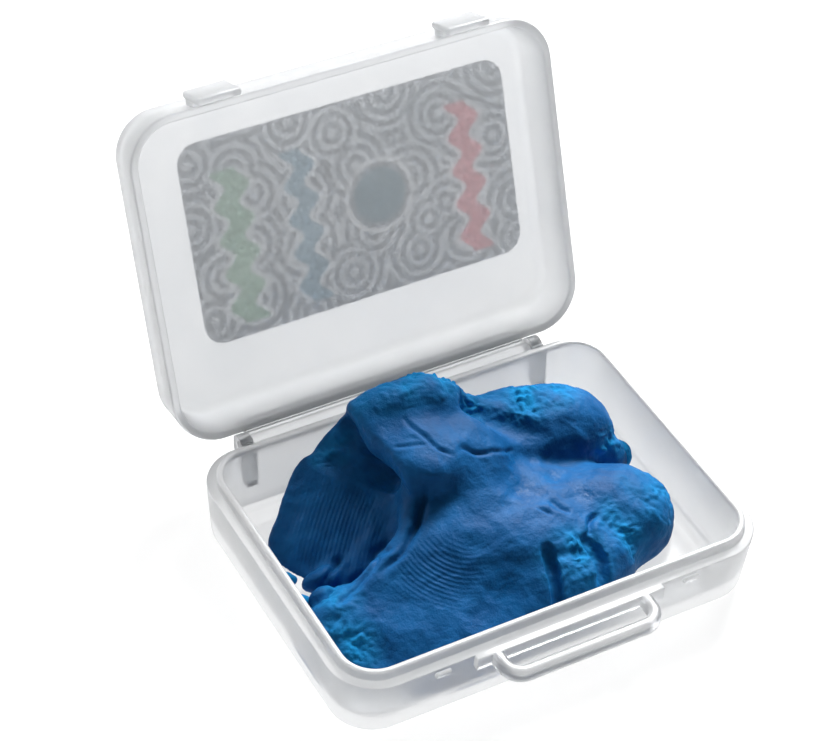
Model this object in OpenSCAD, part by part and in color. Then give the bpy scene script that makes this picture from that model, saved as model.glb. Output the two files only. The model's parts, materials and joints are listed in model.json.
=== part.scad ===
// Pocket case: a two-shell snap case with a hinged lid and a moulded carry loop,
// holding a kneaded lump of putty. Millimetres, +Z up.
// The origin is the middle of the base's underside, and the loop handle faces -Y.

/* [Case] */
// Width of the case, along the hinge
case_w = 60; // [56:0.5:66]
// Depth of the case, from the front wall to the hinge wall
case_d = 44; // [42:0.5:48]
// Outer radius of the four upright corners
corner_r = 6.4; // [5:0.1:8]
// How far each wall leans in from its rim to its flat face
draft = 0.6; // [0.2:0.1:0.8]
// Radius of the outer edge around each flat face
edge_r = 1.3; // [0.8:0.1:1.6]
// Radius of the inner edge around each flat face
fillet_r = 1.6; // [1:0.1:2]

/* [Base] */
// Height of the base from its underside to the ledge that the lid sits on
base_h = 9; // [8:0.1:11]
// Thickness of the base's floor
floor_t = 1.2; // [0.8:0.1:1.6]
// Width of the ledge outside the lip
ledge_w = 1.25; // [1.2:0.05:1.5]
// Thickness of the lip that the lid closes around
lip_t = 0.9; // [0.7:0.1:1.2]
// Height of the lip above the ledge
lip_h = 1.3; // [0.8:0.1:1.6]

/* [Lid] */
// Height of the lid from its rim to its flat face
lid_h = 7.4; // [6.5:0.1:9]
// Thickness of the lid's wall at the rim
lid_wall = 1.1; // [0.9:0.05:1.15]
// Thickness of the lid's panel
panel_t = 1.1; // [0.8:0.1:1.4]
// How far the lid stands open, from closed
open_angle = 111.7; // [90:0.1:112]
// Gap between the lid's rim and the ledge when closed
rim_gap = 0.1; // [0.05:0.05:0.2]

/* [Carry loop] */
// Width of the loop over its two arms
loop_w = 22.6; // [18:0.2:24]
// How far the loop stands out from the front wall
loop_reach = 5.2; // [4:0.1:7]
// Width of the loop's bar and arms, seen from above
bar_w = 1.6; // [1.4:0.1:2]
// Height of the loop's bar and arms
bar_h = 2; // [1.6:0.1:2.4]

/* [Hinge] */
// Distance of the hinge's axis behind the back wall
axis_back = 1.1; // [1.1:0.05:1.2]
// Depth of the hinge's axis below the ledge
axis_drop = 0.9; // [0.9:0.05:1]
// Radius of the hinge's pins
pin_r = 0.6; // [0.5:0.05:0.6]
// Width over the two hinge ears
hinge_w = 45; // [38:0.5:46]

/* [Label] */
// Width of the label on the lid
label_w = 47.3; // [40:0.1:48]
// Depth of the label on the lid
label_d = 27.5; // [20:0.1:30]

/* [Hidden] */
$fn = 48;

plastic = [0.80, 0.81, 0.82, 0.6];
bright_plastic = [0.90, 0.91, 0.92, 0.8];
putty_blue = [0.05, 0.33, 0.62];

corner_x = case_w / 2 - corner_r;
corner_y = case_d / 2 - corner_r;
front_y = -case_d / 2;
back_y = case_d / 2;
lip_out_r = corner_r - ledge_w;
lip_in_r = lip_out_r - lip_t;
lid_in_r = corner_r - lid_wall;
axis_y = back_y + axis_back;
axis_z = base_h - axis_drop;
lid_z = base_h + rim_gap;
lid_top_z = lid_z + lid_h;

// The plate that the loop grows from
plate_w = loop_w + 4;
plate_t = 0.8;
loop_corner_r = 3;
loop_inner_r = 0.8;
// How far the lip runs down into the wall below it
root = 0.3;

// Hinge ears, and the barrel that turns between them
ear_t = 1.6;
ear_r = 1.3;
ear_back = 1.5;
ear_shoulder = 0.5;
ear_drop = 5.4;
pin_gap = 0.05;
barrel_r = 0.9;
barrel_gap = 0.2;
web_h = 2;

// Latch lugs on the lid, and the bumps on the base that they snap over
latch_x = 17.6;
lug_w = 6;
lug_t = 1;
lug_gap = 0.6;
lug_up = 3;
lug_down = 2;
hook_h = 0.5;
hook_t = 0.35;
bump_w = 2.2;
bump_h = 0.8;
bump_t = 0.45;
bump_drop = 0.9;

// The label's place on the panel
label_x = 2.35;
label_y = -1.45;
label_t = 0.15;
label_r = 2.8;

// How far a shell's outer face leans in, this far from the rim of a shell this tall
function lean(from_rim, shell_h) = draft * from_rim / (shell_h - edge_r);

// Section of a tray's wall and of the floor inside its corner. x runs out from the corner's
// centre, y runs up from the flat face to the rim, and in_r is where the inner face meets the rim.
module wall_section(h, in_r, bottom_t) {
    foot_r = corner_r - draft - edge_r;
    low_in_r = in_r - draft;
    difference() {
        union() {
            polygon([
                [0, 0],
                [foot_r, 0],
                [corner_r - draft, edge_r],
                [corner_r, h],
                [in_r, h],
                [low_in_r, bottom_t + fillet_r],
                [low_in_r - fillet_r, bottom_t],
                [0, bottom_t]
            ]);
            translate([foot_r, edge_r]) circle(r = edge_r);
            translate([low_in_r - fillet_r, bottom_t])
                polygon([[0, 0], [fillet_r, 0], [fillet_r, fillet_r]]);
        }
        translate([low_in_r - fillet_r, bottom_t + fillet_r]) circle(r = fillet_r);
    }
}

// Section of the lip that stands on the base's rim
module lip_section() {
    translate([lip_in_r, base_h - root]) square([lip_t, lip_h + root]);
}

// Carries a wall section around the case's outline: four quarter turns and four straight runs
module around_case() {
    for (turn = [0 : 3]) {
        long = turn % 2 == 0;
        at_x = long ? corner_x : corner_y;
        at_y = long ? corner_y : corner_x;
        rotate([0, 0, 90 * turn]) translate([at_x, at_y, 0]) {
            rotate_extrude(angle = 90) children();
            rotate([90, 0, 0]) linear_extrude(2 * at_y) children();
        }
    }
}

// Flat plate between the four corner centres
module middle_plate(thickness) {
    translate([-corner_x, -corner_y, 0]) cube([2 * corner_x, 2 * corner_y, thickness]);
}

// Rectangle with four round corners, centred
module round_rectangle(w, d, r) {
    square([w - 2 * r, d], center = true);
    square([w, d - 2 * r], center = true);
    for (x = [-1, 1], y = [-1, 1])
        translate([x * (w / 2 - r), y * (d / 2 - r)]) circle(r = r);
}

// Puts a piece drawn on the closed lid where it is with the lid open
module on_open_lid() {
    translate([0, axis_y, axis_z])
        rotate([-open_angle, 0, 0])
            translate([0, -axis_y, -axis_z]) children();
}

module base_tray() color(plastic) {
    around_case() wall_section(base_h, lip_in_r, floor_t);
    around_case() lip_section();
    middle_plate(floor_t);
}

// Extrudes an outline drawn in a Y-Z plane along X, centred on x
module across(x, y, z, width) {
    translate([x - width / 2, y, z]) rotate([90, 0, 90]) linear_extrude(width) children();
}

module carry_loop() color(bright_plastic) {
    across(0, front_y, base_h, plate_w)
        polygon([
            [0, 0],
            [-plate_t, 0],
            [-plate_t, -bar_h],
            [lean(bar_h, base_h), -bar_h]
        ]);
    translate([0, 0, base_h - bar_h]) linear_extrude(bar_h) difference() {
        loop_outline(0, loop_corner_r, front_y - plate_t / 2);
        loop_outline(bar_w, loop_inner_r, front_y);
    }
}

// Outline of the loop, drawn in by inset, with round front corners and its open end at y = back
module loop_outline(inset, r, back) {
    half = loop_w / 2 - inset;
    tip = front_y - loop_reach + inset;
    intersection() {
        translate([-half, tip]) square([2 * half, back - tip]);
        union() {
            translate([-half, tip + r]) square([2 * half, loop_reach]);
            translate([-half + r, tip]) square([2 * (half - r), r]);
            for (x = [-1, 1]) translate([x * (half - r), tip + r]) circle(r = r);
        }
    }
}

module hinge_ears() color(bright_plastic)
    for (side = [-1, 1]) across(side * (hinge_w - ear_t) / 2, axis_y, axis_z, ear_t) difference() {
        union() {
            translate([ear_r - axis_back, 0]) circle(r = ear_r);
            polygon([
                [-axis_back, axis_drop],
                [0, axis_drop],
                [ear_back, ear_shoulder],
                [ear_back, -1],
                [-axis_back + 0.7, -ear_drop],
                [-axis_back - lean(axis_drop + ear_drop, base_h), -ear_drop]
            ]);
        }
        circle(r = pin_r + pin_gap);
    }

module snap_bumps() color(bright_plastic)
    for (side = [-1, 1]) across(side * latch_x, front_y, base_h - bump_drop, bump_w)
        polygon([
            [lean(bump_drop + bump_h / 2, base_h), -bump_h / 2],
            [-bump_t, -bump_h / 4],
            [-bump_t, bump_h / 4],
            [lean(bump_drop - bump_h / 2, base_h), bump_h / 2]
        ]);

module lid_shell() color(plastic) on_open_lid()
    translate([0, 0, lid_top_z]) mirror([0, 0, 1]) {
        around_case() wall_section(lid_h, lid_in_r, panel_t);
        middle_plate(panel_t);
    }

module lid_hinge() color(bright_plastic) on_open_lid() {
    barrel_w = hinge_w - 2 * (ear_t + barrel_gap);
    rim = axis_drop + rim_gap;
    across(0, axis_y, axis_z, barrel_w) {
        circle(r = barrel_r);
        polygon([
            [-axis_back, rim],
            [-axis_back - lean(web_h, lid_h), rim + web_h],
            [-axis_back + 0.1, rim + web_h],
            [0, barrel_r],
            [0, 0],
            [-0.6, 0.6],
            [-axis_back + 0.25, rim]
        ]);
    }
    across(0, axis_y, axis_z, hinge_w - 0.2) circle(r = pin_r);
}

module latch_lugs() color(bright_plastic) on_open_lid()
    for (side = [-1, 1]) across(side * latch_x, front_y, base_h, lug_w)
        polygon([
            [0, rim_gap],
            [lean(lug_up - rim_gap, lid_h), lug_up],
            [-lug_gap, lug_up],
            [-lug_gap - lug_t, lug_up - 1],
            [-lug_gap - lug_t, -lug_down],
            [-lug_gap + hook_t, -lug_down],
            [-lug_gap, -lug_down + hook_h],
            [-lug_gap, rim_gap]
        ]);

module lid_label() color("lightgray") on_open_lid()
    translate([label_x, label_y, lid_top_z]) linear_extrude(label_t)
        round_rectangle(label_w, label_d, label_r);

// Kneaded lump: a hull over flat feet on the floor, each [x, y, radius], and over balls
// above them, each [x, y, height, radius]
module putty_lump() color(putty_blue) hull() {
    for (foot = [[-16.2, 6.5, 8.8], [-14, -8.6, 8.8], [10, -9.4, 8], [16, -4, 8.5], [19, 8.5, 5.5], [-4, 9.4, 8]])
        translate([foot[0], foot[1], floor_t]) cylinder(r = foot[2], h = 1.5, $fn = 32);
    for (ball = [[-1, 11, 12.6, 6], [-11, 10, 11.6, 6.5], [-12, -2, 9.5, 7], [10, -6, 8, 6]])
        translate([ball[0], ball[1], ball[2]]) sphere(r = ball[3], $fn = 32);
}

// A torn-off bit that lies on the floor by a side wall
module bit(x, y, r) {
    translate([x, y, floor_t + r]) sphere(r = r);
}

module putty_chunk() color(putty_blue) bit(25.7, 4, 1.1);

module putty_crumbs() color(putty_blue) {
    bit(-25.8, 3, 0.8);
    bit(-25.4, -2, 1);
}

base_tray();
carry_loop();
hinge_ears();
snap_bumps();
lid_shell();
lid_hinge();
latch_lugs();
lid_label();
putty_lump();
putty_chunk();
putty_crumbs();
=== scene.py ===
"""Looks for the pocket case of putty: a frosted snap case, open, with a kneaded lump inside.

Lengths are millimetres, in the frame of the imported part; to_object() turns them into metres.
Lights are placed in metres.
"""

import json
import math

import bmesh
import bpy
import numpy as np
import openvdb
from mathutils import Matrix, Vector


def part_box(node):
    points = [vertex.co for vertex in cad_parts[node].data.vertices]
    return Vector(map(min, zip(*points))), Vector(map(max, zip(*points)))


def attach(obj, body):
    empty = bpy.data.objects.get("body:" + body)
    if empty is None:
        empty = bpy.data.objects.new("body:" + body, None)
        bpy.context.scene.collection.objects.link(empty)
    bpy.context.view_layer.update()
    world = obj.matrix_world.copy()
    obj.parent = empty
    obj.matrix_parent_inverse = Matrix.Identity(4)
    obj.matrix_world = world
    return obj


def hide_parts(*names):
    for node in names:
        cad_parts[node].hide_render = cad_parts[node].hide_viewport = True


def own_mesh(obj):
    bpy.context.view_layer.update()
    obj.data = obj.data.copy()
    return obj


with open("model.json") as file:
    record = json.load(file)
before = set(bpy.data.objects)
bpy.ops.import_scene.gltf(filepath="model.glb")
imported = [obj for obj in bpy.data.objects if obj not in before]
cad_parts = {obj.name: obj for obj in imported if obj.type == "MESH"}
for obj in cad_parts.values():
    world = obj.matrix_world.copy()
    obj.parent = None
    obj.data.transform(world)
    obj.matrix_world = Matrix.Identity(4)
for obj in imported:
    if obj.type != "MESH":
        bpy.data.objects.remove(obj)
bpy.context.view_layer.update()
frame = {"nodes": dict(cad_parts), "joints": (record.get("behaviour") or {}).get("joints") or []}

MM = 0.001


def cad_box_mm(node):
    """Lowest and highest corners of a CAD node, in millimetres."""
    low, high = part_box(node)
    return np.array(low) / MM, np.array(high) / MM


# ---------------------------------------------------------------- sizes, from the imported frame

tray_low, tray_high = cad_box_mm("base_tray")
loop_low, loop_high = cad_box_mm("carry_loop")
bump_low, bump_high = cad_box_mm("snap_bumps")
joint = frame["joints"][0]
HINGE = Vector(joint["pos_m"]) / MM
OPEN_ANGLE = math.radians(joint["range_deg"][1])

CASE_W = tray_high[0] - tray_low[0]
CASE_D = tray_high[1] - tray_low[1]
LIP_TOP = tray_high[2]
LIP_H = 1.3  # the lip's height above the ledge that the lid's rim meets
LEDGE_Z = LIP_TOP - LIP_H
FRONT_Y = -CASE_D / 2
CORNER_R = 6.4  # the case's corners, seen from above
DRAFT = 0.6  # how far a wall leans in from rim to floor
EDGE_R = 1.3  # rounding of the outer edges
FILLET_R = 1.6  # rounding of the inner corners
FLOOR_T = 1.2
LEDGE_W = 1.25
LIP_T = 0.9
LID_H = 7.4
LID_WALL = 1.1
PANEL_T = 1.1
RIM_GAP = 0.1
LID_TOP = LEDGE_Z + RIM_GAP + LID_H
LATCH_X = 17.6  # how far each latch lug is from the middle
FLAT_R = 2.0  # where a shell's flat face begins, out from the corner's centre
CORNER_STEPS = 14
CLEARANCE = 0.02  # between the putty and the tray's floor


# ---------------------------------------------------------------- camera, lights and floor

CAMERA_ANGLES = (-31.56, 42.66, 4.12)  # azimuth, elevation and roll, in degrees
CAMERA_AWAY = 340.9
CAMERA_RIGHT = -8.74
CAMERA_UP = 16.61
CAMERA_LENS = 118.4


def add_camera():
    """The photograph's view: from the front left, above, slightly rolled, with a long lens."""
    azimuth, elevation, roll = (math.radians(angle) for angle in CAMERA_ANGLES)
    away = Vector((
        math.sin(azimuth) * math.cos(elevation),
        -math.cos(azimuth) * math.cos(elevation),
        math.sin(elevation),
    ))
    right = Vector((math.cos(azimuth), math.sin(azimuth), 0))
    up = away.cross(right)
    rolled_right = math.cos(roll) * right + math.sin(roll) * up
    rolled_up = math.cos(roll) * up - math.sin(roll) * right
    place = Vector((0, 0, LEDGE_Z)) + CAMERA_AWAY * away
    place += CAMERA_RIGHT * rolled_right + CAMERA_UP * rolled_up
    camera = bpy.data.objects.new("camera", bpy.data.cameras.new("camera"))
    camera.data.lens = CAMERA_LENS
    camera.data.clip_start = 0.01
    turn = Matrix((rolled_right, rolled_up, away)).transposed().to_4x4()
    camera.matrix_world = Matrix.Translation(place * MM) @ turn
    bpy.context.scene.collection.objects.link(camera)
    bpy.context.scene.camera = camera


def add_area_light(name, place, size, power):
    """A soft square light at a place in metres, facing the case."""
    light = bpy.data.objects.new(name, bpy.data.lights.new(name, "AREA"))
    light.data.size = size
    light.data.energy = power
    light.location = place
    aim = Vector((0, 0, 0.01)) - Vector(place)
    light.rotation_euler = aim.to_track_quat("-Z", "Y").to_euler()
    bpy.context.scene.collection.objects.link(light)


def add_stage():
    """White floor, a dim even sky and two soft lights from behind; the floor glows a little by itself."""
    world = bpy.data.worlds.new("sky")
    world.use_nodes = True
    sky = world.node_tree.nodes["Background"]
    sky.inputs["Color"].default_value = (1, 1, 1, 1)
    sky.inputs["Strength"].default_value = 0.08
    bpy.context.scene.world = world
    add_area_light("key", (0.38, 0.42, 0.50), 0.3, 11.0)
    add_area_light("rim", (-0.35, 0.50, 0.35), 0.3, 2.0)
    half = 3.0
    corners = [(-half, -half, 0), (half, -half, 0), (half, half, 0), (-half, half, 0)]
    data = bpy.data.meshes.new("floor")
    data.from_pydata(corners, [], [(0, 1, 2, 3)])
    floor = bpy.data.objects.new("floor", data)
    bpy.context.scene.collection.objects.link(floor)
    paper = new_material("floor_paper")
    shader = paper.node_tree.nodes["Principled BSDF"]
    shader.inputs["Base Color"].default_value = (0.3, 0.3, 0.3, 1)
    shader.inputs["Roughness"].default_value = 0.9
    shader.inputs["Emission Color"].default_value = (1, 1, 1, 1)
    shader.inputs["Emission Strength"].default_value = 0.86
    data.materials.append(paper)


# ---------------------------------------------------------------- materials

def new_material(name):
    material = bpy.data.materials.new(name)
    material.use_nodes = True
    return material


class Nodes:
    """Short calls for building one material's node tree."""

    def __init__(self, material):
        self.tree = material.node_tree
        self.shader = self.tree.nodes["Principled BSDF"]
        self.place = self.tree.nodes.new("ShaderNodeTexCoord").outputs["Object"]

    def link(self, source, target):
        self.tree.links.new(source, target)

    def noise(self, pitch, detail=3.0, rough=0.55, place=None, distortion=0.0):
        """Noise whose blobs are about pitch millimetres apart."""
        node = self.tree.nodes.new("ShaderNodeTexNoise")
        node.inputs["Scale"].default_value = 1 / (pitch * MM)
        node.inputs["Detail"].default_value = detail
        node.inputs["Roughness"].default_value = rough
        node.inputs["Distortion"].default_value = distortion
        self.link(place or self.place, node.inputs["Vector"])
        return node.outputs["Fac"]

    def attribute(self, name):
        """A value stored on the mesh's points."""
        node = self.tree.nodes.new("ShaderNodeAttribute")
        node.attribute_name = name
        return node.outputs["Fac"]

    def vector(self, name):
        """A place stored on the mesh's points, in millimetres."""
        node = self.tree.nodes.new("ShaderNodeAttribute")
        node.attribute_name = name
        return node.outputs["Vector"]

    def ramp(self, value, stops):
        """Maps a value to a colour or a level through (position, colour) stops."""
        node = self.tree.nodes.new("ShaderNodeValToRGB")
        points = node.color_ramp.elements
        while len(points) < len(stops):
            points.new(0.5)
        for point, (position, colour) in zip(points, stops):
            point.position = position
            level = colour if isinstance(colour, tuple) else (colour, colour, colour)
            point.color = (*level, 1)
        self.link(value, node.inputs["Fac"])
        return node.outputs["Color"]

    def rings(self, centre, pitch, stretch):
        """Rings around a centre in millimetres, a pitch apart."""
        moved = self.tree.nodes.new("ShaderNodeMapping")
        moved.inputs["Location"].default_value = [-c * s * MM for c, s in zip(centre, stretch)]
        moved.inputs["Scale"].default_value = stretch
        self.link(self.place, moved.inputs["Vector"])
        node = self.tree.nodes.new("ShaderNodeTexWave")
        node.wave_type = "RINGS"
        node.rings_direction = "SPHERICAL"
        node.inputs["Scale"].default_value = 2 * math.pi / (20 * pitch * MM)
        node.inputs["Distortion"].default_value = 1.6
        node.inputs["Detail"].default_value = 1.0
        node.inputs["Detail Scale"].default_value = 0.12
        self.link(moved.outputs["Vector"], node.inputs["Vector"])
        return node.outputs["Fac"]

    def math(self, kind, a, b=None, c=None):
        """One sum; each of a, b and c is a number or another node's output."""
        node = self.tree.nodes.new("ShaderNodeMath")
        node.operation = kind
        for socket, value in zip(node.inputs, (a, b, c)):
            if value is None:
                continue
            if isinstance(value, (int, float)):
                socket.default_value = value
            else:
                self.link(value, socket)
        return node.outputs[0]

    def mix(self, share, a, b):
        """Colour a where share is 0, colour b where it is 1."""
        node = self.tree.nodes.new("ShaderNodeMix")
        node.data_type = "RGBA"
        for socket, value in zip((node.inputs[0], node.inputs[6], node.inputs[7]), (share, a, b)):
            if isinstance(value, tuple):
                socket.default_value = (*value, 1)
            elif isinstance(value, (int, float)):
                socket.default_value = value
            else:
                self.link(value, socket)
        return node.outputs[2]

    def bump(self, height, depth, normal=None):
        """Bump of the given depth in millimetres."""
        node = self.tree.nodes.new("ShaderNodeBump")
        node.inputs["Strength"].default_value = 1.0
        node.inputs["Distance"].default_value = depth * MM
        self.link(height, node.inputs["Height"])
        if normal is not None:
            self.link(normal, node.inputs["Normal"])
        return node.outputs["Normal"]


def frosted_plastic(name, clearness, colour_scale):
    """Milky polypropylene: light passes through but is scattered, with faint clouding and scuffs.

    clearness is the share of light that passes; the last argument scales the colour, and a value below 1
    darkens it as painted shade.
    """
    material = new_material(name)
    n = Nodes(material)
    clouds = n.noise(9.0, 2.0)
    dull = tuple(colour_scale * c for c in (0.78, 0.795, 0.81))
    bright = tuple(colour_scale * c for c in (0.83, 0.84, 0.85))
    n.link(n.ramp(clouds, [(0.3, dull), (0.7, bright)]), n.shader.inputs["Base Color"])
    scuffs = n.noise(2.5, 5.0, 0.7, distortion=1.5)
    n.link(n.ramp(scuffs, [(0.35, 0.30), (0.65, 0.38)]), n.shader.inputs["Roughness"])
    n.shader.inputs["Transmission Weight"].default_value = clearness
    n.shader.inputs["IOR"].default_value = 1.45
    grain = n.bump(n.noise(1.6, 2.0), 0.0015)
    n.link(n.bump(n.noise(7.0, 1.0), 0.015, grain), n.shader.inputs["Normal"])
    return material


RIDGE_PITCH = 0.56
PRINTS = [
    # name of each skin-ridge print, the centre of its rings, how much they stretch along x, y, z,
    # and the centre and radii of the patch that shows them
    ("print_fan", (-3.4, -2.6, 9), (1, 1, 1), (-9.8, -7.2, 7.8), (7, 5.5, 5)),
    ("print_lobe", (14, -26, 8), (1, 1, 0.1), (-17.6, 6.6, 5.6), (9, 9, 8)),
]


def putty_material():
    """Soft blue putty: mottled blue, paler and matt where torn, faintly damp where pressed."""
    material = new_material("putty")
    n = Nodes(material)
    torn = n.attribute("torn")
    damp = n.attribute("damp")
    mottle = n.noise(3.5, 4.0)
    smooth_blue = n.ramp(mottle, [(0.3, (0.005, 0.085, 0.26)), (0.7, (0.010, 0.135, 0.38))])
    torn_blue = n.ramp(n.noise(1.0, 4.0), [(0.3, (0.006, 0.21, 0.50)), (0.7, (0.014, 0.33, 0.72))])
    n.link(n.mix(torn, smooth_blue, torn_blue), n.shader.inputs["Base Color"])
    wet = n.math("MULTIPLY", damp, n.ramp(n.noise(0.6, 4.0), [(0.42, 0.0), (0.6, 1.0)]))
    rough = n.math("MULTIPLY_ADD", wet, -0.24, 0.50)
    n.link(n.math("MULTIPLY_ADD", torn, 0.4, rough), n.shader.inputs["Roughness"])
    bump = n.bump(n.noise(0.5, 4.0, 0.65), 0.10)
    for name, ring_centre, stretch, _, _ in PRINTS:
        ridges = n.rings(ring_centre, RIDGE_PITCH, stretch)
        bump = n.bump(n.math("MULTIPLY", ridges, n.attribute(name)), 0.045, bump)
    n.link(bump, n.shader.inputs["Normal"])
    n.shader.inputs["Specular IOR Level"].default_value = 0.1
    return material


LABEL_BANDS = [
    # where each wavy band runs across the label, its half width, and its colour
    (-14.6, 2.3, (0.60, 0.71, 0.63)),
    (-5.0, 1.9, (0.54, 0.63, 0.68)),
    (19.4, 2.0, (0.83, 0.56, 0.58)),
]
BAND_HALF_LENGTH = 10.6
RING_CELL = 7.5  # about how far apart the middles of the printed rings are
RING_RATE = 32.0  # radians of ring wave across one cell
DISC = (6.0, -1.2)  # middle of the printed disc


def label_material():
    """Printed paper: overlapping rings, plain wavy bands and a ringed disc, in pale inks."""
    material = new_material("label_paper")
    n = Nodes(material)
    place = n.vector("place")
    white = (0.84, 0.85, 0.86)
    paper = (0.585, 0.60, 0.615)
    ink = (0.79, 0.805, 0.82)
    cells = n.tree.nodes.new("ShaderNodeTexVoronoi")
    cells.voronoi_dimensions = "2D"
    cells.inputs["Scale"].default_value = 1 / RING_CELL
    cells.inputs["Randomness"].default_value = 0.7
    n.link(place, cells.inputs["Vector"])
    rings = n.math("SINE", n.math("MULTIPLY", cells.outputs["Distance"], RING_RATE))
    colour = n.mix(n.ramp(n.math("MULTIPLY_ADD", rings, 0.5, 0.5), [(0.4, 0.0), (0.7, 1.0)]), paper, ink)
    split = n.tree.nodes.new("ShaderNodeSeparateXYZ")
    n.link(place, split.inputs[0])
    x, y = split.outputs["X"], split.outputs["Y"]
    wave = n.math("MULTIPLY", n.math("SINE", n.math("MULTIPLY", y, 1.35)), 0.9)
    for middle, half, tint in LABEL_BANDS:
        gap = n.math("ABSOLUTE", n.math("SUBTRACT", n.math("SUBTRACT", x, middle), wave))
        gap = n.math("DIVIDE", gap, 2 * half)
        inside = n.math("GREATER_THAN", BAND_HALF_LENGTH, n.math("ABSOLUTE", y))
        border = n.math("MULTIPLY", n.ramp(gap, [(0.55, 1.0), (0.60, 0.0)]), inside)
        colour = n.mix(border, colour, white)
        colour = n.mix(n.math("MULTIPLY", n.ramp(gap, [(0.36, 1.0), (0.41, 0.0)]), inside), colour, tint)
    dx, dy = n.math("SUBTRACT", x, DISC[0]), n.math("SUBTRACT", y, DISC[1])
    radius = n.math("SQRT", n.math("ADD", n.math("MULTIPLY", dx, dx), n.math("MULTIPLY", dy, dy)))
    for edge, tint in ((5.2, white), (4.5, paper), (3.7, (0.48, 0.55, 0.58))):
        colour = n.mix(n.math("LESS_THAN", radius, edge), colour, tint)
    colour = n.mix(n.ramp(n.noise(1.5, 3.0), [(0.3, 0.0), (0.9, 0.12)]), colour, (0.60, 0.61, 0.62))
    n.link(colour, n.shader.inputs["Base Color"])
    n.link(n.ramp(n.noise(3.0, 3.0), [(0.3, 0.6), (0.7, 0.75)]), n.shader.inputs["Roughness"])
    n.shader.inputs["Transmission Weight"].default_value = 0.7
    n.link(n.bump(n.noise(0.3, 2.0), 0.004), n.shader.inputs["Normal"])
    return material


# ---------------------------------------------------------------- mesh helpers

def to_object(name, points, faces, material, smooth=True):
    """An object from points in millimetres."""
    data = bpy.data.meshes.new(name)
    data.from_pydata([tuple(p) for p in np.asarray(points, float) * MM], [], [tuple(f) for f in faces])
    data.materials.append(material)
    data.validate()
    item = bpy.data.objects.new(name, data)
    bpy.context.scene.collection.objects.link(item)
    if smooth:
        smooth_by_angle(item)
    return item


def smooth_by_angle(item, degrees=35):
    """Shades the item smooth, with a crease wherever faces meet at a sharper angle."""
    item.data.polygons.foreach_set("use_smooth", [True] * len(item.data.polygons))
    mesh = bmesh.new()
    mesh.from_mesh(item.data)
    limit = math.radians(degrees)
    for edge in mesh.edges:
        edge.smooth = len(edge.link_faces) == 2 and edge.calc_face_angle(0) < limit
    bmesh.ops.recalc_face_normals(mesh, faces=mesh.faces)
    mesh.to_mesh(item.data)
    mesh.free()


def arc(centre, radius, start, end, steps=6):
    """Points of an arc, angles in degrees."""
    angles = np.radians(np.linspace(start, end, steps + 1))
    return [(centre[0] + radius * math.cos(a), centre[1] + radius * math.sin(a)) for a in angles]


def ring_faces(rows, columns):
    """Quads between rows of points, each row a closed ring."""
    faces = []
    for row in range(rows - 1):
        below, above = row * columns, (row + 1) * columns
        for column in range(columns):
            beside = (column + 1) % columns
            faces.append((below + column, below + beside, above + beside, above + column))
    return faces


def shell_around(section):
    """Carries a section of (out, height) points around the case's outline and closes both flat faces."""
    outline = []
    for turn in range(4):
        side_x, side_y = ((1, 1), (-1, 1), (-1, -1), (1, -1))[turn]
        centre = (side_x * (CASE_W / 2 - CORNER_R), side_y * (CASE_D / 2 - CORNER_R))
        for angle in np.radians(np.linspace(90 * turn, 90 * turn + 90, CORNER_STEPS + 1)):
            outline.append((*centre, math.cos(angle), math.sin(angle)))
    points = [(cx + out * ax, cy + out * ay, z) for out, z in section for cx, cy, ax, ay in outline]
    count = len(outline)
    faces = ring_faces(len(section), count)
    faces.append(tuple(reversed(range(count))))
    faces.append(tuple(range((len(section) - 1) * count, len(section) * count)))
    return points, faces


def fuse(item, *others):
    """Joins overlapping closed pieces of one moulding into a single skin."""
    for other in others:
        join = item.modifiers.new("join", "BOOLEAN")
        join.operation = "UNION"
        join.solver = "EXACT"
        join.object = other
    shown = bpy.context.evaluated_depsgraph_get()
    joined = bpy.data.meshes.new_from_object(item.evaluated_get(shown))
    item.modifiers.clear()
    item.data = joined
    for other in others:
        bpy.data.objects.remove(other)
    smooth_by_angle(item)


def open_lid(item):
    """Turns a piece drawn on the closed lid to where the lid is at rest, fully open."""
    hinge = HINGE * MM
    turn = Matrix.Translation(hinge) @ Matrix.Rotation(-OPEN_ANGLE, 4, "X") @ Matrix.Translation(-hinge)
    item.data.transform(turn)


# ---------------------------------------------------------------- the two shells

def base_section():
    """From the middle of the underside, out and up to the ledge and the lip, and down inside."""
    lip_out = CORNER_R - LEDGE_W
    lip_in = lip_out - LIP_T
    low_in = lip_in - DRAFT
    soft = 0.15
    round_r = 0.3
    return [
        (FLAT_R, 0),
        *arc((CORNER_R - DRAFT - EDGE_R, EDGE_R), EDGE_R, -90, -4),
        *arc((CORNER_R - soft, LEDGE_Z - soft), soft, 0, 90, 3),
        *arc((lip_out + soft, LEDGE_Z + soft), soft, 270, 180, 3),
        *arc((lip_out - round_r, LIP_TOP - round_r), round_r, 0, 90, 4),
        *arc((lip_in + round_r, LIP_TOP - round_r), round_r, 90, 180, 4),
        *arc((low_in - FILLET_R, FLOOR_T + FILLET_R), FILLET_R, 4, -90),
        (FLAT_R, FLOOR_T),
    ]


def lid_section():
    """From the middle of the lid's top, out and down to the rim, and back up inside."""
    rim = LEDGE_Z + RIM_GAP
    inner = CORNER_R - LID_WALL
    low_in = inner - DRAFT
    panel = LID_TOP - PANEL_T
    round_r = 0.3
    return [
        (FLAT_R, LID_TOP),
        *arc((CORNER_R - DRAFT - EDGE_R, LID_TOP - EDGE_R), EDGE_R, 90, 4),
        *arc((CORNER_R - round_r, rim + round_r), round_r, 0, -90, 4),
        *arc((inner + round_r, rim + round_r), round_r, 270, 180, 4),
        *arc((low_in - FILLET_R, panel - FILLET_R), FILLET_R, -4, 90),
        (FLAT_R, panel),
    ]


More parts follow.
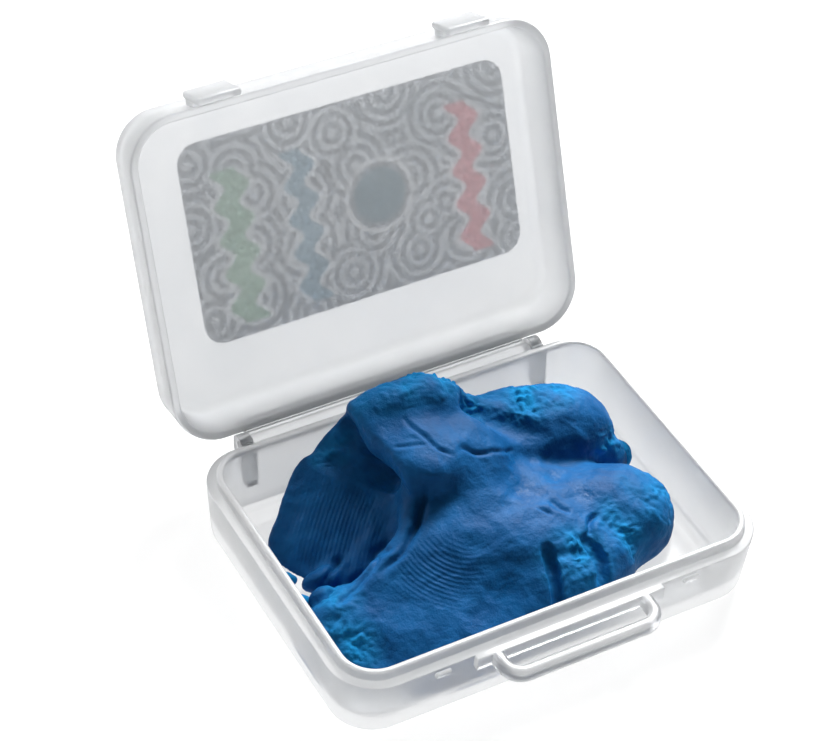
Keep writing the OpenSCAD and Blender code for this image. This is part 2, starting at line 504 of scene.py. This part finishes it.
def tube_along(path, half_w, half_h, round_r):
    """A bar with a rounded rectangular section along a level path of points, closed at both ends."""
    section = []
    for turn, (sx, sz) in enumerate(((1, 1), (-1, 1), (-1, -1), (1, -1))):
        centre = (sx * (half_w - round_r), sz * (half_h - round_r))
        section += arc(centre, round_r, 90 * turn, 90 * turn + 90, 3)
    path = [Vector(p) for p in path]
    points = []
    for i, place in enumerate(path):
        ahead = path[min(i + 1, len(path) - 1)] - path[max(i - 1, 0)]
        side = ahead.cross(Vector((0, 0, 1))).normalized()
        points += [place + side * s + Vector((0, 0, h)) for s, h in section]
    count = len(section)
    faces = ring_faces(len(path), count)
    faces.append(tuple(reversed(range(count))))
    faces.append(tuple(range((len(path) - 1) * count, len(path) * count)))
    return points, faces


def rounded_block(name, low, high, radius, material):
    """A block between two corners with all its edges rounded."""
    mesh = bmesh.new()
    bmesh.ops.create_cube(mesh, size=1)
    low, high = Vector(low), Vector(high)
    for vertex in mesh.verts:
        vertex.co = Vector([low[i] + (vertex.co[i] + 0.5) * (high[i] - low[i]) for i in range(3)])
    bmesh.ops.bevel(mesh, geom=mesh.edges[:], offset=radius, segments=3, profile=0.5, affect="EDGES")
    points = [v.co.copy() for v in mesh.verts]
    mesh.verts.index_update()
    faces = [[v.index for v in f.verts] for f in mesh.faces]
    mesh.free()
    return to_object(name, points, faces, material)


def make_base(plastic):
    """The base: tray, lip, front plate, carry loop and snap bumps, in one skin."""
    base = to_object("base_shell", *shell_around(base_section()), plastic)
    bar_h = loop_high[2] - loop_low[2]
    bar_w = 1.6
    plate_t = 0.8
    plate_past_loop = 2
    root = 0.5
    bump_w = 2.2
    bump_root = 0.4
    plate = rounded_block(
        "plate",
        (loop_low[0], FRONT_Y - plate_t, loop_low[2]),
        (loop_high[0], FRONT_Y + root, loop_high[2]),
        0.2, plastic,
    )
    half = (loop_high[0] - loop_low[0]) / 2 - plate_past_loop - bar_w / 2
    tip = loop_low[1] + bar_w / 2
    middle = (loop_low[2] + loop_high[2]) / 2
    turn_r = 2.2
    path = [(-half, FRONT_Y, middle)]
    path += [(x, y, middle) for x, y in arc((-half + turn_r, tip + turn_r), turn_r, 180, 270, 8)]
    path += [(x, y, middle) for x, y in arc((half - turn_r, tip + turn_r), turn_r, 270, 360, 8)]
    path.append((half, FRONT_Y, middle))
    loop = to_object("loop", *tube_along(path, bar_w / 2, bar_h / 2, 0.55), plastic)
    bumps = []
    for side in (-1, 1):
        outer = side * bump_high[0]
        inner = outer - side * bump_w
        bumps.append(rounded_block(
            "bump",
            (min(outer, inner), bump_low[1], bump_low[2]),
            (max(outer, inner), FRONT_Y + bump_root, bump_high[2]),
            0.25, plastic,
        ))
    fuse(base, plate, loop, *bumps)
    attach(base, "base")
    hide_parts("base_tray", "carry_loop", "snap_bumps")


def make_lid(plastic):
    """The lid's shell with its two latch lugs, in one skin."""
    lid = to_object("lid_skin", *shell_around(lid_section()), plastic)
    lugs = []
    # half width, how far out of the wall it ends, how far out it begins, lowest, highest, rounding
    tab = (3, 1.6, 0.6, -2, 3, 0.35)
    root = (2.8, 0.9, -0.5, 0.3, 2.8, 0.3)
    for x in (-LATCH_X, LATCH_X):
        for name, (half, far, close, bottom, top, radius) in (("lug", tab), ("lug_root", root)):
            low = (x - half, FRONT_Y - far, LEDGE_Z + bottom)
            high = (x + half, FRONT_Y - close, LEDGE_Z + top)
            lugs.append(rounded_block(name, low, high, radius, plastic))
    fuse(lid, *lugs)
    open_lid(lid)
    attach(lid, "lid")
    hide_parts("lid_shell", "latch_lugs")


def make_label():
    """The printed label stuck to the outside of the lid."""
    width, depth, thick, radius = 47.3, 27.5, 0.12, 2.8
    centre = (2.35, -1.45)
    bottom = LID_TOP + 0.01
    outline = []
    for turn, (sx, sy) in enumerate(((1, 1), (-1, 1), (-1, -1), (1, -1))):
        corner = (centre[0] + sx * (width / 2 - radius), centre[1] + sy * (depth / 2 - radius))
        outline += arc(corner, radius, 90 * turn, 90 * turn + 90, 6)
    levels = (bottom, bottom + thick)
    points = [(x, y, z) for z in levels for x, y in outline]
    count = len(outline)
    faces = ring_faces(2, count)
    faces.append(tuple(reversed(range(count))))
    faces.append(tuple(range(count, 2 * count)))
    label = to_object("label", points, faces, label_material())
    layer = label.data.attributes.new("place", "FLOAT_VECTOR", "POINT")
    layer.data.foreach_set("vector", np.array(points, np.float32).ravel())
    open_lid(label)
    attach(label, "lid")
    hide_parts("lid_label")


# ---------------------------------------------------------------- the putty

VOXEL = 0.25  # the putty's mesh size


def lump(grid, centre, radii, lean=0, power=2.0):
    """Signed distance, nearly, to a rounded mass whose first axis leans by lean degrees about Z."""
    x, y, z = (g - c for g, c in zip(grid, centre))
    a = math.radians(lean)
    u, v = math.cos(a) * x + math.sin(a) * y, math.cos(a) * y - math.sin(a) * x
    level = abs(u / radii[0]) ** power + abs(v / radii[1]) ** power + abs(z / radii[2]) ** power
    return (level ** (1 / power) - 1) * min(radii)


def rope(grid, points, width):
    """Signed distance to a tube of the given half width along points."""
    nearest = None
    for start, end in zip(points, points[1:]):
        start, end = np.array(start, float), np.array(end, float)
        along = end - start
        offset = [g - c for g, c in zip(grid, start)]
        share = sum(o * a for o, a in zip(offset, along)) / (along @ along)
        share = np.clip(share, 0, 1)
        gap = np.sqrt(sum((o - share * a) ** 2 for o, a in zip(offset, along)))
        nearest = gap if nearest is None else np.minimum(nearest, gap)
    return nearest - width


def add(field, piece, width):
    """Smooth union: the piece melts into the field over the given width."""
    h = np.clip(0.5 + 0.5 * (piece - field) / width, 0, 1)
    return piece + (field - piece) * h - width * h * (1 - h)


def cut(field, piece, width):
    """Smooth cut: takes the piece out of the field, softening the new edge over the given width."""
    return -add(-field, piece, width)


def plane(grid, place, facing):
    """Signed distance to a plane through a place; negative behind it."""
    facing = np.array(facing, float) / np.linalg.norm(facing)
    return sum((g - c) * f for g, c, f in zip(grid, place, facing))


def masses(grid):
    """The big shapes: a tall fold at the back, lobes at the right, and a broad front that slopes down."""
    # the tall fold at the back, with its peak, and the lower mass at its right
    field = lump(grid, (-4.5, 10, 6.6), (13, 8.8, 9.4), -8, 2.6)
    field = add(field, lump(grid, (-3.4, 14.4, 11.8), (9, 4.4, 6.7), -6, 2.2), 1.5)
    field = add(field, lump(grid, (13, 9.7, 5.2), (11.7, 6.8, 7.6), -14, 2.4), 2.5)
    # the middle, then the broad front and its slope
    field = add(field, lump(grid, (-1, 3.5, 4), (9, 8.5, 8.2), 0, 2.4), 3.0)
    field = add(field, lump(grid, (0, -3, 3.4), (18, 10, 7.2), 0, 2.4), 2.0)
    field = add(field, lump(grid, (-3, -9.5, 3), (20, 8.6, 6.4), 0, 2.6), 2.0)
    field = cut(field, -plane(grid, (-4, -7.5, 9.9), (-0.25, -0.5, 0.82)), 1.6)
    # the front left corner and its slope
    field = add(field, lump(grid, (-16, -8.5, 1.6), (10.5, 9.6, 4.4), 0, 3.0), 2.5)
    field = cut(field, -plane(grid, (-13.9, -12.4, 5.4), (-0.22, -0.42, 0.88)), 1.2)
    # the lobe at the right and the small one behind it
    field = add(field, lump(grid, (16, -5, 3.8), (9.2, 7.4, 5.8), -22, 2.2), 1.2)
    field = add(field, lump(grid, (21.6, 4.4, 3), (3.8, 3, 4), 0, 2.0), 0.6)
    return field


LOOSE_BITS = [
    # centre and radii of the bits kneaded loose at the front left
    ((-20.6, 2.6, 2), (3, 1.6, 1.8)),
    ((-22.4, -0.6, 2.2), (2, 1.4, 1.7)),
    ((-20, -1.6, 2.4), (2.6, 1.3, 1.8)),
    ((-23.6, -4.2, 3), (1.5, 1.5, 1.6)),
    ((-24.4, -7.4, 3.2), (1.4, 1.8, 2)),
    ((-22.6, -5.4, 4.6), (1.8, 1.3, 1.5)),
    ((-20.8, -3, 4.2), (1.6, 1.2, 1.4)),
]


ROLLED_EDGE = [
    # along the left lobe's near edge, from the flap down to the front
    (-6, 7.6, 10.4),
    (-7, 5, 10.6),
    (-8.6, 2.2, 10),
    (-10.6, -0.4, 8.8),
    (-13.6, -1.8, 7),
    (-16, -2, 5),
]

CLEFTS = [
    # points, half width, and how soft the edges are
    ([(24, 6.4, 5), (20, 5, 8.6), (17.4, 5, 10)], 0.8, 0.5),
    ([(11, 5.6, 12.2), (8, 8, 12.8), (4.4, 11, 14.1)], 1.2, 2.0),
    ([(3.4, -11, 9.2), (3, -13.4, 7.6), (1.6, -17.6, 5)], 0.8, 0.4),
    ([(9.2, -11.6, 9), (9.4, -14, 7.6), (8.4, -17, 6)], 1.0, 0.4),
    ([(4.2, -12.2, 9.2), (8.6, -13, 8.8)], 0.5, 0.5),
]


def folds(grid, field):
    """Folded-over flaps, and the hollows, clefts and gaps that they leave."""
    # room for the left lobe, then the lobe itself with its rolled edge
    lobe_slope = (-0.47, -0.3, 0.83)
    beside_lobe = lump(grid, (-20, 10, 9), (12.6, 12, 9), 20, 3.0)
    field = cut(field, np.maximum(-plane(grid, (-12, 5, 6.6), lobe_slope), beside_lobe), 1.0)
    left_lobe = lump(grid, (-14, 6.6, 4), (10, 11.4, 7.5), 14, 3.0)
    left_lobe = cut(left_lobe, -plane(grid, (-22.1, 12.9, 5), (-0.7, 0.7, 0.15)), 1.0)
    left_lobe = cut(left_lobe, -plane(grid, (-12.8, 12.8, 9.8), lobe_slope), 0.8)
    field = add(field, add(left_lobe, rope(grid, ROLLED_EDGE, 1.3), 3.0), 0.35)
    # the hollow under the flap, and the flap
    field = cut(field, rope(grid, [(-14.4, 13.4, 10.6), (-11.4, 10, 11.2), (-8.8, 7.2, 11)], 2.1), 0.4)
    flap = lump(grid, (-5.8, 8.4, 13.8), (7, 3.8, 2.1), -74, 3.0)
    field = add(field, flap, 1.4)
    for line, half_width, softness in CLEFTS:
        field = cut(field, rope(grid, line, half_width), softness)
    for centre, radii in LOOSE_BITS:
        field = add(field, lump(grid, centre, radii), 0.5)
    return field


def inside_tray(x, y):
    """Distance to the room between the tray's walls, a little clear of them."""
    gap = 0.1
    corner = CORNER_R - LEDGE_W - LIP_T - DRAFT - gap
    out_x = np.maximum(abs(x) - (CASE_W / 2 - CORNER_R), 0)
    out_y = np.maximum(abs(y) - (CASE_D / 2 - CORNER_R), 0)
    return np.sqrt(out_x ** 2 + out_y ** 2) - corner


def noise(points, pitch, seed):
    """Smooth noise from -1 to 1 whose bumps are pitch millimetres apart."""
    cell = points / pitch + 100 * seed
    whole = np.floor(cell).astype(np.int64)
    part = cell - whole
    part = part * part * (3 - 2 * part)
    total = np.zeros(len(points))
    for corner in range(8):
        step = np.array(((corner >> 2) & 1, (corner >> 1) & 1, corner & 1))
        at = whole + step
        mixed = (at[:, 0] * 73856093) ^ (at[:, 1] * 19349663) ^ (at[:, 2] * 83492791)
        mixed = (mixed ^ (mixed >> 13)) * 1274126177 & 0x7FFFFFFF
        weight = np.prod(np.where(step, part, 1 - part), axis=1)
        total += weight * ((mixed % 10007) / 5003.5 - 1)
    return total


PRESSED_FROM = np.array((-0.385, -0.627, 0.678))  # the side the creases were pressed from


def reach(points, line):
    """Distance to a line, seen from the side the lump was pressed from, and how far along it is."""
    nearest = np.full(len(points), 99.0)
    place = np.zeros(len(points))
    flat = points - np.outer(points @ PRESSED_FROM, PRESSED_FROM)
    line = np.array(line, float)
    line = line - np.outer(line @ PRESSED_FROM, PRESSED_FROM)
    lengths = np.linalg.norm(np.diff(line, axis=0), axis=1)
    done = 0.0
    for start, end, length in zip(line, line[1:], lengths):
        along = end - start
        share = np.clip((flat - start) @ along / (along @ along), 0, 1)
        gap = np.linalg.norm(flat - start - np.outer(share, along), axis=1)
        place = np.where(gap < nearest, (done + share * length) / lengths.sum(), place)
        nearest = np.minimum(nearest, gap)
        done += length
    return nearest, place


def near(points, centre, radius):
    """1 at a place, fading to 0 at the given radius."""
    gap = np.linalg.norm((points - np.array(centre)) / np.array(radius), axis=1)
    return np.clip(1.3 * (1 - gap), 0, 1)


LONG_FOLD = [(-5.4, 5, 11), (-7.2, 1.8, 11), (-9.2, -0.8, 10.5), (-11, -2, 9), (-13, -2.8, 8), (-16, -3, 6)]

CREASES = [
    # points, half width, depth (negative is a raised fold)
    (LONG_FOLD, 0.35, 0.5),
    ([(-3.4, 14.6, 13), (-4, 12, 14), (-4, 9.4, 14.6), (-3, 6.4, 14), (-1, 5, 13.4)], 0.2, 0.28),
    ([(-11, 2, 5), (-14.6, 0, 6.4), (-17, -3, 7)], 0.35, 0.5),
    ([(-17, 4.4, 3), (-20.4, 1.4, 4), (-23, -1.4, 5)], 0.4, 0.6),
    ([(-14, 1.6, 3), (-18.8, -1.6, 4), (-22, -3.4, 4)], 0.4, 0.5),
    ([(-12, 4, 7), (-15.8, 1.4, 6), (-19, -0.4, 5)], 1.0, -0.35),
    ([(8, -3, 9), (8.6, -5, 9), (9.4, -6.6, 9)], 0.25, 0.35),
    ([(6, -3.8, 9), (7.4, -6, 9)], 0.2, 0.25),
    ([(3, 6.6, 11), (5.6, 5.4, 11), (8, 4.6, 11)], 0.25, 0.2),
    ([(0.4, 7.4, 12), (2, 5.4, 12), (4.4, 4.6, 11.6)], 0.25, 0.25),
    ([(13, -7, 8), (11.4, -8.4, 8), (10.6, -10, 7)], 0.3, 0.6),
    ([(-8, 9.4, 14), (-6, 8, 14), (-3.6, 7.6, 14)], 0.18, 0.18),
]

PRESSES = [
    # centre, radius, depth of a fingertip's press
    ((2.4, 5.6, 11.6), 2.4, 0.35),
    ((6.4, 3.2, 11), 2.6, 0.4),
    ((5.4, -1.6, 11), 4.2, 0.4),
    ((10.6, -0.6, 10), 2.6, 0.35),
    ((12.4, -5, 9.4), 2.8, 0.4),
    ((-12.6, 6, 10), 4.0, 0.4),
    ((-17, 0.6, 6), 3.4, 0.45),
    ((-3, -12, 6), 5.0, 0.4),
]

TORN = [
    # centre and radii of each torn, crumbly patch
    ((15, -9.5, 6), (4.6, 6, 5)),
    ((20, -7, 6), (6, 6, 5)),
    ((0, 15, 16), (13, 4.5, 5)),
    ((14, 11.5, 12.5), (9, 5.5, 3.5)),
    ((-24, -10, 4), (5, 6, 3)),
    ((20.5, 4, 6), (5, 3.4, 4)),
    ((6.5, -12.5, 7), (6.5, 5.5, 5)),
    ((-21.5, -4, 4), (4, 5, 4)),
    ((6, 13, 13), (6, 4, 3)),
    ((20, 11, 7), (5, 5, 5)),
    ((-14, 15, 12), (5, 4, 4)),
]


def detail(points, normals):
    """How far each point moves along its normal, and how torn and how damp the putty is there."""
    facing = np.clip((normals @ PRESSED_FROM + 0.15) / 0.4, 0, 1)
    torn = np.zeros(len(points))
    for centre, radii in TORN:
        torn = np.maximum(torn, near(points, centre, radii))
    torn = np.clip(torn * (0.75 + 0.6 * noise(points, 1.8, 5)), 0, 1)
    wander = np.stack([noise(points, 2.2, seed) for seed in (11, 12, 13)], axis=1)
    warped = points + 0.6 * wander
    move = 0.30 * noise(points, 4.2, 1) + 0.13 * noise(warped, 1.7, 2) + 0.05 * noise(warped, 0.7, 3)
    damp = np.zeros(len(points))
    for centre, radius, depth in PRESSES:
        pad = near(points, centre, (radius, radius, radius)) ** 1.5
        move -= depth * pad
        damp = np.maximum(damp, pad)
    for line, width, depth in CREASES:
        gap, place = reach(points + 0.35 * wander, line)
        gap = gap / width
        taper = np.clip(5 * place, 0, 1) * np.clip(5 * (1 - place), 0, 1)
        move -= depth * facing * taper * np.exp(-gap * gap)
        if depth > 0:
            shoulder = np.exp(-((gap - 2.6) / 1.3) ** 2)
            move += 0.22 * depth * facing * taper * shoulder
    grains = abs(noise(warped, 0.9, 7)) + 0.6 * abs(noise(warped, 0.55, 8))
    move += torn * (0.65 * grains - 0.45 + 0.25 * noise(points, 2.2, 9))
    return move, torn, damp


def make_putty(material):
    """The kneaded lump: a distance field turned into a mesh, then pressed, creased and torn."""
    low, high = np.array((-28, -20.5, -1)), np.array((28, 20.5, 21))
    counts = ((high - low) / VOXEL).astype(int) + 1
    axes = [(low[i] + VOXEL * np.arange(counts[i])).astype(np.float32) for i in range(3)]
    grid = np.meshgrid(*axes, indexing="ij", sparse=True)
    field = folds(grid, masses(grid))
    field = np.maximum(np.maximum(field, inside_tray(*grid[:2])), FLOOR_T + CLEARANCE - grid[2])
    volume = openvdb.FloatGrid()
    volume.copyFromArray(field.astype(np.float32))
    points, quads = volume.convertToQuads(isovalue=0)
    points = low + VOXEL * np.asarray(points, float)
    putty = to_object("putty", points, quads, material, smooth=False)
    smooth_by_angle(putty, 180)
    data = putty.data
    normals = np.empty(3 * len(data.vertices), np.float32)
    data.vertices.foreach_get("normal", normals)
    normals = normals.reshape(-1, 3).astype(float)
    points = np.empty(3 * len(data.vertices), np.float32)
    data.vertices.foreach_get("co", points)
    points = points.reshape(-1, 3).astype(float) / MM
    move, torn, damp = detail(points, normals)
    off_floor = np.clip((points[:, 2] - FLOOR_T - 0.05) / 0.8, 0, 1)
    points += normals * (move * off_floor)[:, None]
    past_wall = np.maximum(inside_tray(points[:, 0], points[:, 1]), 0)
    from_middle = 24
    points[:, :2] *= np.minimum(1, 1 - past_wall / from_middle)[:, None]
    points[:, 2] = np.maximum(points[:, 2], FLOOR_T + CLEARANCE)
    data.vertices.foreach_set("co", (points * MM).astype(np.float32).ravel())
    layers = {"torn": torn, "damp": damp}
    for name, _, _, patch_centre, patch_radii in PRINTS:
        layers[name] = near(points, patch_centre, patch_radii) * (1 - torn)
    for name, values in layers.items():
        layer = data.attributes.new(name, "FLOAT", "POINT")
        layer.data.foreach_set("value", values.astype(np.float32))
    data.update()
    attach(putty, "base")
    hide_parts("putty_lump")
    return putty


def make_bit(name, node, centre, radii, turn, material):
    """A crumb of putty: a rolled, pinched bead with a rough skin."""
    mesh = bmesh.new()
    bmesh.ops.create_icosphere(mesh, subdivisions=5, radius=1)
    unit = np.array([v.co for v in mesh.verts])
    mesh.verts.index_update()
    faces = [[v.index for v in f.verts] for f in mesh.faces]
    mesh.free()
    taper = 1 - 0.25 * unit[:, :1]
    points = unit * np.array(radii) * np.hstack((np.ones_like(taper), taper, taper))
    rough = 0.16 * noise(points + centre, 1.1, 21) + 0.07 * noise(points + centre, 0.45, 22)
    points += unit * rough[:, None]
    a = math.radians(turn)
    spin = np.array(((math.cos(a), math.sin(a), 0), (-math.sin(a), math.cos(a), 0), (0, 0, 1)))
    points = points @ spin + np.array(centre)
    points[:, 2] = np.maximum(points[:, 2], FLOOR_T + CLEARANCE)
    bit = to_object(name, points, faces, material, smooth=False)
    smooth_by_angle(bit, 180)
    layer = bit.data.attributes.new("torn", "FLOAT", "POINT")
    layer.data.foreach_set("value", np.full(len(points), 0.8, np.float32))
    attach(bit, "base")
    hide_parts(node)


# ---------------------------------------------------------------- build

add_camera()
add_stage()
bpy.context.scene.view_settings.view_transform = "Standard"
# The base, with its hinge ears, uses the lid's plastic with the colour scaled by 0.9: painted shade that
# darkens the whole base.
shaded_base_plastic = frosted_plastic("frosted_base_painted_shade", 0.84, 0.9)
lid_plastic = frosted_plastic("frosted_lid", 0.78, 1.0)
make_base(shaded_base_plastic)
make_lid(lid_plastic)
make_label()
blue = putty_material()
putty = make_putty(blue)
make_bit("crumb_back", "putty_crumbs", (-25.2, 4.4, 2.3), (1.5, 1.05, 1.05), -30, blue)
make_bit("crumb_front", "putty_crumbs", (-25.2, 0, 2.3), (1.4, 1.1, 1.1), 10, blue)
make_bit("chunk", "putty_chunk", (24.4, 4.6, 3.1), (1.9, 1.8, 2.1), 40, blue)
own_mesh(putty)
for name, plastic in (("hinge_ears", shaded_base_plastic), ("lid_hinge", lid_plastic)):
    frame["nodes"][name].data.materials[0] = plastic
